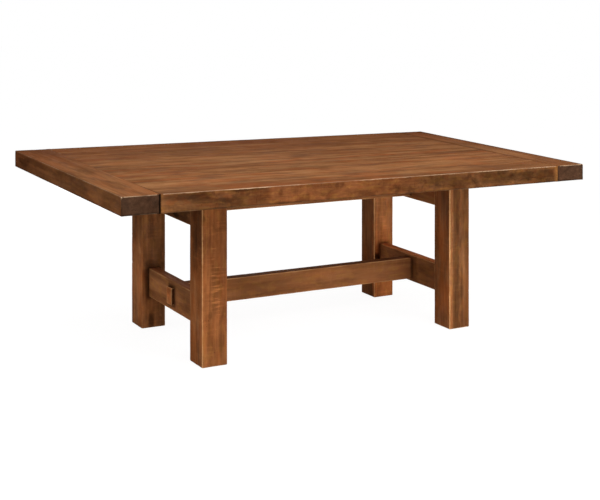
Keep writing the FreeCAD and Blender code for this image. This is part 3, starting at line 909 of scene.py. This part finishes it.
def worn_board_tree():
    """Geometry Nodes that turn a cube into a board with worn and tight arrises."""
    tree = bpy.data.node_groups.new("worn_board", "GeometryNodeTree")
    for name, kind in BOARD_INPUTS.items():
        tree.interface.new_socket(name, in_out="INPUT", socket_type=kind)
    tree.interface.new_socket("Board", in_out="OUTPUT", socket_type="NodeSocketGeometry")
    given = Wire(tree).node("NodeGroupInput", out="Size")
    half, seed = given * 0.5, given.also("Seed")

    # A cube whose rows crowd towards its arrises
    cube = given.node("GeometryNodeMeshCube", {}, {
        "Size": given, "Vertices X": given.also("Cuts Along"),
        "Vertices Y": given.also("Cuts Across"), "Vertices Z": given.also("Cuts Up")})
    point = given.node("GeometryNodeInputPosition")
    gap = half - abs(point)
    crowded = gap * gap * (half + CROWDING) / ((gap + CROWDING) * half)
    board = stored(cube, "place", "FLOAT_VECTOR", point.maths("SIGN", point) * (half - crowded))

    # Arrises rounded about an inner box
    place = given.node("GeometryNodeInputNamedAttribute", {"data_type": "FLOAT_VECTOR"},
                       {"Name": "place"})
    spot = place + seed.joined(*[seed * shift for shift in PLACE_SHIFT])
    worn = arris_wear(given, half, place)
    radius = arris_radius(given, place, spot, worn)
    inner = half - radius
    core = place.most(0 - inner).least(inner)
    outwards = place - core
    rounded = core + outwards.maths("NORMALIZE", outwards) * radius
    board = stored(board, "worn", "FLOAT", worn)
    board = board.node("GeometryNodeSetPosition", {}, {"Geometry": board, "Position": rounded})

    # Shallow hollows of the hand plane, and the values that the stain reads
    dips = (spot.noise(HOLLOW_STRETCH, 3.0) - HOLLOW_LEVEL).most(0) * given.also("Hollows")
    sunk = given.node("GeometryNodeInputNormal") * (0 - dips)
    board = board.node("GeometryNodeSetPosition", {}, {"Geometry": board, "Offset": sunk})
    board = stored(stored(board, "half", "FLOAT_VECTOR", half), "seed", "FLOAT", seed)
    board = board.node("GeometryNodeTransform", {}, {
        "Geometry": board, "Translation": given.also("Centre"), "Rotation": given.also("Turn")})
    board = board.node("GeometryNodeSetShadeSmooth", {}, {"Geometry": board})
    board = board.node("GeometryNodeRealizeInstances", {}, {"Geometry": board})
    board = board.node("GeometryNodeSetMaterial", {}, {
        "Geometry": board, "Material": given.also("Finish")})
    board.node("NodeGroupOutput", {}, {"Board": board})
    return tree


worn_board = worn_board_tree()
print("worn board tree:", len(worn_board.nodes), "nodes")

# %% [markdown]
# ## Cutting the boards
#
# A board needs the box of its CAD node, the way its grain runs, and what is worn. The turn lays the
# tree's own X axis, which is the grain, along the board. After the tree is evaluated its result is
# copied to a plain mesh, so that no modifier is left on the piece. A finished piece then rides on the
# table and stands for its CAD node.

# %% Cut boards from boxes
GRAIN_TURN = {
    "X": (0, 0, 0),
    "Y": (0, 0, math.radians(90)),
    "Z": (0, math.radians(-90), 0),
}
ROW_STEP = 0.008
FEWEST_ROWS = 12
ROWS_ACROSS = 17
ROWS_UP = 13
DENT_REACH = 0.022
seeds = iter(range(11, 100))


def board_mesh(box, grain, finish, worn_low, worn_high, radius=0.003, tight=0.0002, chips=0.02,
               hollows=0.0006, seed=None, dent=(0, 0, 0), dent_depth=0.0):
    """The mesh of one worn board in a box. Wear is given along, across and through the grain."""
    low, high = box
    turn = GRAIN_TURN[grain]
    upright = Matrix.Rotation(turn[2], 3, "Z") @ Matrix.Rotation(turn[1], 3, "Y")
    size = Vector([abs(v) for v in upright.inverted() @ (high - low)])
    values = {
        "Size": size, "Centre": (low + high) / 2, "Turn": turn,
        "Cuts Along": max(FEWEST_ROWS, round(size.x / ROW_STEP)),
        "Cuts Across": ROWS_ACROSS, "Cuts Up": ROWS_UP,
        "Worn Low": worn_low, "Worn High": worn_high, "Worn Radius": radius, "Tight Radius": tight,
        "Chips": chips, "Hollows": hollows,
        "Dent": dent, "Dent Depth": dent_depth, "Dent Reach": DENT_REACH,
        "Seed": float(next(seeds) if seed is None else seed), "Finish": FINISH[finish],
    }
    blank = bpy.data.objects.new("blank", bpy.data.meshes.new("blank"))
    bpy.context.scene.collection.objects.link(blank)
    modifier = blank.modifiers.new("worn_board", "NODES")
    modifier.node_group = worn_board
    for item in worn_board.interface.items_tree:
        if item.in_out == "INPUT":
            modifier[item.identifier] = values[item.name]
    graph = bpy.context.evaluated_depsgraph_get()
    mesh = bpy.data.meshes.new_from_object(blank.evaluated_get(graph), depsgraph=graph)
    bpy.data.objects.remove(blank)
    return mesh


def piece(name, mesh, nodes):
    """A finished piece that rides on the table and stands for CAD nodes."""
    made = bpy.data.objects.new(name, mesh)
    bpy.context.scene.collection.objects.link(made)
    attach(made, "root")
    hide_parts(*nodes)
    print(name, len(mesh.polygons), "faces")
    return made


print("rows every", ROW_STEP * 1000, "mm along a board")

# %% [markdown]
# ## The planks
#
# The planks of the top lie side by side. At each end their tongues go into a breadboard, so a plank is
# only shown up to the seam. The outer arrises are worn and the glued ones tight. At the right the seam
# is open, at the left it has closed except near the front. A shallow dent breaks the front arris.

# %% Lay the planks
SEAM_WEAR = 0.3
CLOSED_SEAM_WEAR = 0.0
OPEN_SEAM_PLANKS = 2
DENT_X = -0.05
DENT_DEPTH = 0.005
plank_names = sorted(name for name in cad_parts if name.startswith("top_plank"))
seam_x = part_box("breadboard_end_right")[0].x
for number, name in enumerate(plank_names):
    front = 1.0 if name == plank_names[0] else 0.0
    back = 1.0 if name == plank_names[-1] else 0.0
    low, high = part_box(name)
    low.x, high.x = -seam_x, seam_x
    dent = (DENT_X, (low.y - high.y) / 2, (high.z - low.z) / 2)
    left_wear = SEAM_WEAR if number < OPEN_SEAM_PLANKS else CLOSED_SEAM_WEAR
    mesh = board_mesh((low, high), "X", "plank", (left_wear, front, 0), (SEAM_WEAR, back, 1),
                      seed=number + 1, dent=dent, dent_depth=front * DENT_DEPTH)
    piece(name + "_worn", mesh, [name])
print("planks:", len(plank_names), "seam at", round(seam_x, 3), "m")

# %% [markdown]
# ## The edge strips and the breadboards
#
# A strip glued under the front and back plank makes the edge look thick. It takes the seed of its
# plank, so that the two look like one board. The breadboards lie across the ends and keep the top
# flat. Their outer arrises are worn, but less than those of the planks. At the seam they are tight.

# %% Glue on the edge strips and the breadboards
OUTER_WEAR = 0.56
BREADBOARD_RADIUS = 0.0035
for row, front, back, seed in (("front", 1.0, 0.0, 1), ("back", 0.0, 1.0, len(plank_names))):
    node = "edge_strip_" + row
    mesh = board_mesh(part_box(node), "X", "edge", (SEAM_WEAR, front, 1), (SEAM_WEAR, back, 0),
                      seed=seed)
    piece(node + "_worn", mesh, [node])
outer_side = (1, OUTER_WEAR, 1)
open_side = (1, SEAM_WEAR, 1)
closed_side = (1, CLOSED_SEAM_WEAR, 1)
# The grain's turn points the board's across axis towards -X
for end, low_wear, high_wear in (("left", closed_side, outer_side), ("right", outer_side, open_side)):
    node = "breadboard_end_" + end
    mesh = board_mesh(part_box(node), "Y", "breadboard", low_wear, high_wear, radius=BREADBOARD_RADIUS)
    piece(node + "_worn", mesh, [node])

# %% [markdown]
# ## The legs
#
# Four square posts with their grain upright. Their tops are tight under the top, and every other arris
# is worn, with deeper hollows than on the other boards, because the posts were planed by hand.

# %% Stand the legs
LEG_RADIUS = 0.0035
LEG_HOLLOWS = 0.0012
for node in sorted(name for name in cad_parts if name.startswith("leg_")):
    mesh = board_mesh(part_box(node), "Z", "leg", (1, 1, 1), (0, 1, 1),
                      radius=LEG_RADIUS, hollows=LEG_HOLLOWS)
    piece(node + "_worn", mesh, [node])

# %% [markdown]
# ## The rails
#
# Rails and end stretchers run between the legs, with tenons that nobody sees, so they are shown only
# between the shoulders. The centre beam runs under the top from rail to rail. Upper arrises under the
# top are tight, and the others worn.

# %% Fit the rails
leg_inner_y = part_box("leg_back_left")[0].y
rail_inner_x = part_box("end_rail_right")[0].x


def cut_to(node, axis, reach):
    """A node's box, cut off at the same distance on both sides of the middle."""
    low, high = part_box(node)
    low[axis], high[axis] = -reach, reach
    return low, high


for end in ("left", "right"):
    for kind, high_wear in (("end_rail_", (0, 1, 0)), ("end_stretcher_", (0, 1, 1))):
        node = kind + end
        mesh = board_mesh(cut_to(node, 1, leg_inner_y), "Y", "rail", (0, 1, 1), high_wear)
        piece(node + "_worn", mesh, [node])
beam = board_mesh(cut_to("centre_beam", 0, rail_inner_x), "X", "rail", (0, 1, 1), (0, 1, 0))
piece("centre_beam_worn", beam, ["centre_beam"])

# %% [markdown]
# ## The long stretcher
#
# The tenons of the long stretcher come out through the end stretchers. So it is made of three boards
# in one piece: the length between the end stretchers, and two tenons, which are smaller above and
# below and start just inside the stretcher's end. Joining the meshes keeps each board's own finish.

# %% Join the long stretcher
TENON_OVERLAP = 0.0005
TENON_RADIUS = 0.002


def one_mesh(meshes):
    """Several board meshes as one, each with its own finish."""
    parts = [bpy.data.objects.new("part", mesh) for mesh in meshes]
    for part in parts:
        bpy.context.scene.collection.objects.link(part)
    with bpy.context.temp_override(active_object=parts[0], object=parts[0],
                                   selected_editable_objects=parts, selected_objects=parts):
        bpy.ops.object.join()
    whole = parts[0].data
    bpy.data.objects.remove(parts[0])
    return whole


stretcher_inner_x = stretcher_low.x
timbers = []
for direction in (-1, 1):
    inner, outer = sorted((direction * (stretcher_inner_x - TENON_OVERLAP), direction * long_high.x))
    tenon = (Vector((inner, long_low.y, long_low.z + TENON_SHOULDER)),
             Vector((outer, long_high.y, long_high.z - TENON_SHOULDER)))
    timbers.append(board_mesh(tenon, "X", "tenon", (1, 1, 1), (1, 1, 1), radius=TENON_RADIUS))
shown_length = cut_to("long_stretcher", 0, stretcher_inner_x)
timbers.append(board_mesh(shown_length, "X", "stretcher", (0, 1, 1), (0, 1, 1)))
piece("long_stretcher_worn", one_mesh(timbers), ["long_stretcher"])

# %% [markdown]
# ## Pegs, buttons and screws
#
# Pegs hold the breadboard ends and the stretcher's tenons, and buttons with one screw each hold the
# top down. They are out of sight under the table, and their CAD shapes are right, so they stay and
# only get a finish in their material slots. Pegs and buttons are sealed wood that the stain missed:
# its fibres are a noise that is stretched along the piece. The screws are steel with turning marks
# under a dull, spangled zinc plate.

# %% Finish the small parts
FIBRE_DEPTH = 0.0006
TURNING_DEPTH = 0.0002


def sealed_wood(name, dark, light, stretch):
    """Unstained wood, with fibres stretched along one axis of the table."""
    material, start = blank_finish(name)
    spot = start.node("ShaderNodeTexCoord", out="Object")
    fibres = spot.noise(stretch, 4.0, 0.6)
    patch = spot.noise((18, 18, 18), 2.0).step(0.35, 0.65)
    colour = blended(fibres.step(0.36, 0.66) * 0.8 + patch * 0.2, dark, light)
    return closed_finish(material, {
        "Base Color": colour, "Roughness": 0.6 + fibres * 0.2, "Specular IOR Level": 0.2,
        "Normal": bumped(fibres, 0.3, FIBRE_DEPTH)})


def zinc_plate(name):
    """Dull plated screw steel, with spangles and turning marks round the shank."""
    material, start = blank_finish(name)
    spot = start.node("ShaderNodeTexCoord", out="Object")
    spangle = spot.noise((260, 260, 260), 3.0, 0.6)
    marks = spot.noise((60, 60, 2400), 2.0, 0.6)
    colour = blended(spangle.step(0.35, 0.65), stain(146, 143, 133), stain(192, 188, 176))
    return closed_finish(material, {
        "Base Color": colour, "Metallic": 1.0, "Roughness": 0.3 + spangle * 0.3,
        "Normal": bumped(marks, 0.25, TURNING_DEPTH)})


UPRIGHT = (260, 260, 30)
LENGTHWISE = (40, 220, 220)
SMALL_PARTS = {
    "breadboard_pegs": sealed_wood("peg_wood", stain(128, 82, 48), stain(176, 128, 84), UPRIGHT),
    "tenon_pegs": sealed_wood("tenon_peg_wood", stain(120, 74, 42), stain(168, 118, 76), UPRIGHT),
    "top_buttons": sealed_wood("button_wood", stain(150, 106, 66), stain(196, 152, 104), LENGTHWISE),
    "button_screws": zinc_plate("screw_steel"),
}
for node, finish in SMALL_PARTS.items():
    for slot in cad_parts[node].material_slots:
        slot.material = finish
    print(node, "in", finish.name, "slots:", len(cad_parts[node].material_slots))

# %% [markdown]
# ## The lamps
#
# Product pictures of dark wood use big soft lamps. One in front and one above the front edge light the
# faces that the camera sees, weak ones at the left and on the ceiling keep the rest readable, and one
# at the back does the same for whoever walks round the table. Their powers bring each face to about
# the level at which a colour renders as it is written, so the wood also looks right in other light.

# %% Hang the lamps
# Place, aim, size in metres and power in watts
LAMPS = {
    "front_softbox": ((1.5, -3.8, 0.85), (0.2, 0, 0.4), (2.8, 1.2), 45),
    "overhead_softbox": ((0.0, -2.4, 2.3), (0.0, -0.3, 0.7), (4.4, 1.2), 51),
    "left_softbox": ((-3.0, 0.7, 1.6), (-0.6, 0, 0.3), (1.8, 1.0), 5),
    "ceiling_softbox": ((-0.3, 0.1, 3.0), (-0.3, 0.1, 0.7), (3.0, 2.0), 16),
    "back_softbox": ((0.9, 3.8, 0.55), (0.0, 0.0, 0.45), (2.8, 0.8), 45),
}
for name, (place, aim, size, power) in LAMPS.items():
    data = bpy.data.lights.new(name, "AREA")
    data.shape = "RECTANGLE"
    data.size, data.size_y = size
    data.energy = power
    lamp = bpy.data.objects.new(name, data)
    lamp.location = place
    lamp.rotation_euler = (Vector(aim) - Vector(place)).to_track_quat("-Z", "Y").to_euler()
    bpy.context.scene.collection.objects.link(lamp)
    print(name, power, "W")

# %% [markdown]
# ## The white studio
#
# The table stands on a white sweep. A floor that is white from light alone would need far too much of
# it, so the floor and the world only look white to the camera, in mirrors and through glass, and give
# the table a plain, even light. A trace of real paint in the floor keeps the table's shadow.

# %% Paint the studio
FLOOR_HALF = 20.0
FLOOR_PAINT = (0.8, 0.8, 0.8, 1)
FLOOR_GLOW = 1.165
SHADOW_SHARE = 0.2
WORLD_LIGHT = 0.42
WHITE = (1, 1, 1, 1)


def seen_directly(start):
    """1 for what the camera sees directly, in a mirror or through glass."""
    path = start.node("ShaderNodeLightPath")
    return path.most(path.also("Is Glossy Ray")).most(path.also("Is Transmission Ray"))


def white_sweep():
    """The floor: white to the camera, with a trace of the shadows, and pale to the light."""
    material, start = blank_finish("white_sweep")
    paint = start.node("ShaderNodeBsdfDiffuse", {}, {"Color": FLOOR_PAINT})
    glow = start.node("ShaderNodeEmission", {}, {"Color": WHITE, "Strength": FLOOR_GLOW})
    share = seen_directly(start) * (1 - SHADOW_SHARE)
    mixed = start.node("ShaderNodeMixShader", {}, {0: share, 1: paint, 2: glow})
    start.node("ShaderNodeOutputMaterial", {}, {"Surface": mixed})
    return material


def white_world():
    """The world: white to the camera, and an even grey light."""
    world = bpy.data.worlds.new("studio")
    world.use_nodes = True
    world.node_tree.nodes.clear()
    start = Wire(world.node_tree)
    strength = WORLD_LIGHT + seen_directly(start) * (1 - WORLD_LIGHT)
    sky = start.node("ShaderNodeBackground", {}, {"Color": WHITE, "Strength": strength})
    start.node("ShaderNodeOutputWorld", {}, {"Surface": sky})
    return world


floor_mesh = bpy.data.meshes.new("floor")
corners = [(x * FLOOR_HALF, y * FLOOR_HALF, 0) for x, y in ((-1, -1), (1, -1), (1, 1), (-1, 1))]
floor_mesh.from_pydata(corners, [], [(0, 1, 2, 3)])
floor_mesh.materials.append(white_sweep())
floor = bpy.data.objects.new("floor", floor_mesh)
bpy.context.scene.collection.objects.link(floor)
bpy.context.scene.world = white_world()
bpy.context.scene.view_settings.view_transform = "Standard"
print("floor:", 2 * FLOOR_HALF, "m wide, world light:", WORLD_LIGHT)
